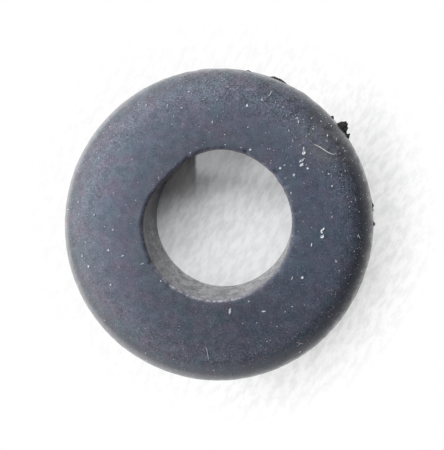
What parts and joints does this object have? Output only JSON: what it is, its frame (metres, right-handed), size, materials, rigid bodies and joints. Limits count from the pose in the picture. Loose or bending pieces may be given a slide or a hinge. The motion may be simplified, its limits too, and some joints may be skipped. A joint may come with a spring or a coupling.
{
  "type": "rubber grommet",
  "caption": "Round moulded rubber grommet with a plain cable bore, a panel groove round its neck and domed flanges with rounded shoulders.",
  "frame": {"origin": "on the bore axis, in the plane of the bottom face that the grommet stands on", "axes": "+Z along the bore from the bottom face to the top face; X and Y in the panel's plane, with the moulding flash on the upper flange's edge between +X and +Y"},
  "size_m": [0.0201, 0.02, 0.008],
  "materials": {
    "rubber": "matt dark blue-grey rubber, dusty, with a pale sheen at grazing angles"
  },
  "bodies": {
    "root": {"grommet": "rubber"}
  },
  "joints": []
}
